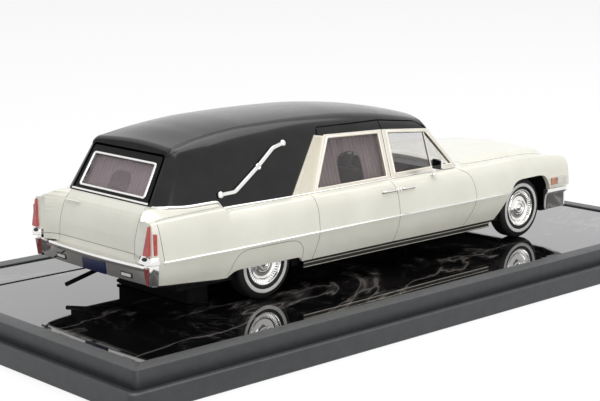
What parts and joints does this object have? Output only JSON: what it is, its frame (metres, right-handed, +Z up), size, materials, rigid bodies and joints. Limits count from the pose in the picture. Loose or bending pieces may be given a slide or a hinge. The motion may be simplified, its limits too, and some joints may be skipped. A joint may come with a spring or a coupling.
{
  "type": "1:43 scale model of a landau hearse on a display plinth",
  "caption": "Small-scale landau hearse with ivory body, black roof and draped windows, screwed to a black display plinth; its wheel pairs turn on steel rods.",
  "frame": {"origin": "centre of the plinth underside", "axes": "+X towards the nose of the car, +Y to its left, +Z up"},
  "size_m": [0.202, 0.1024, 0.048],
  "materials": {
    "tyre_rubber": "satin black rubber",
    "whitewall": "white ring let into the side wall",
    "chrome_trim": "bright chrome",
    "steel": "bare steel",
    "plinth_black": "satin dark grey moulding",
    "sheet_gloss": "polished black with pale marble veins",
    "chassis_black": "matt black",
    "body_paint": "pearl ivory lacquer on a cast shell",
    "roof_black": "satin black, like covered leathercloth",
    "clear_glass": "clear glazing",
    "satin_metal": "satin stainless",
    "drape": "mauve moulded drape",
    "interior": "dark cabin pieces",
    "red_lens": "red lens",
    "plate_blue": "blank dark blue plate",
    "clear_lens": "clear lens",
    "amber_lens": "amber lens"
  },
  "bodies": {
    "car_on_plinth": {"amber_lenses": "amber_lens", "backup_lamps": "chrome_trim", "belt_mouldings": "chrome_trim", "bumper_lenses": "red_lens", "cabin_floor": "chassis_black", "casket_deck": "interior", "chassis_plate": "chassis_black", "clear_lenses": "clear_lens", "corner_panels": "satin_metal", "dashboard": "interior", "door_handles": "chrome_trim", "fixing_screw_front": "steel", "fixing_screw_rear": "steel", "front_bench": "interior", "front_bumper": "chrome_trim", "grille": "chrome_trim", "headlamps": "clear_lens", "landau_bar_left": "chrome_trim", "landau_bar_right": "chrome_trim", "lower_body": "body_paint", "mirrors": "chrome_trim", "name_strip": "sheet_gloss", "number_plate": "plate_blue", "plinth_sheet": "sheet_gloss", "plinth_tray": "plinth_black", "rear_belt_moulding": "chrome_trim", "rear_bumper": "chrome_trim", "rear_drape": "drape", "rear_glass": "clear_glass", "rear_window_frame": "chrome_trim", "roof_shell": "roof_black", "side_drapes": "drape", "side_glass": "clear_glass", "side_lenses": "red_lens", "side_strips": "chrome_trim", "sill_mouldings": "satin_metal", "spacer_posts": "steel", "steering_wheel": "interior", "tail_lenses": "red_lens", "tail_mouldings": "satin_metal", "tail_pipe": "chassis_black", "window_frames": "chrome_trim", "windscreen": "clear_glass"},
    "rear_wheel_pair": {"tyre_rear_left": "tyre_rubber", "tyre_rear_right": "tyre_rubber", "wheel_disc_rear_left": "chrome_trim", "wheel_disc_rear_right": "chrome_trim", "whitewall_rear_left": "whitewall", "whitewall_rear_right": "whitewall", "axle_rod_rear": "steel"},
    "front_wheel_pair": {"tyre_front_left": "tyre_rubber", "tyre_front_right": "tyre_rubber", "wheel_disc_front_left": "chrome_trim", "wheel_disc_front_right": "chrome_trim", "whitewall_front_left": "whitewall", "whitewall_front_right": "whitewall", "axle_rod_front": "steel"}
  },
  "joints": [
    {"name": "rear_wheels_turn", "type": "hinge", "parent": "car_on_plinth", "child": "rear_wheel_pair", "pos_m": [-0.0427, -0.003, 0.01575], "axis": [0, 1, 0], "continuous": true},
    {"name": "front_wheels_turn", "type": "hinge", "parent": "car_on_plinth", "child": "front_wheel_pair", "pos_m": [0.04945, -0.003, 0.01575], "axis": [0, 1, 0], "continuous": true}
  ]
}
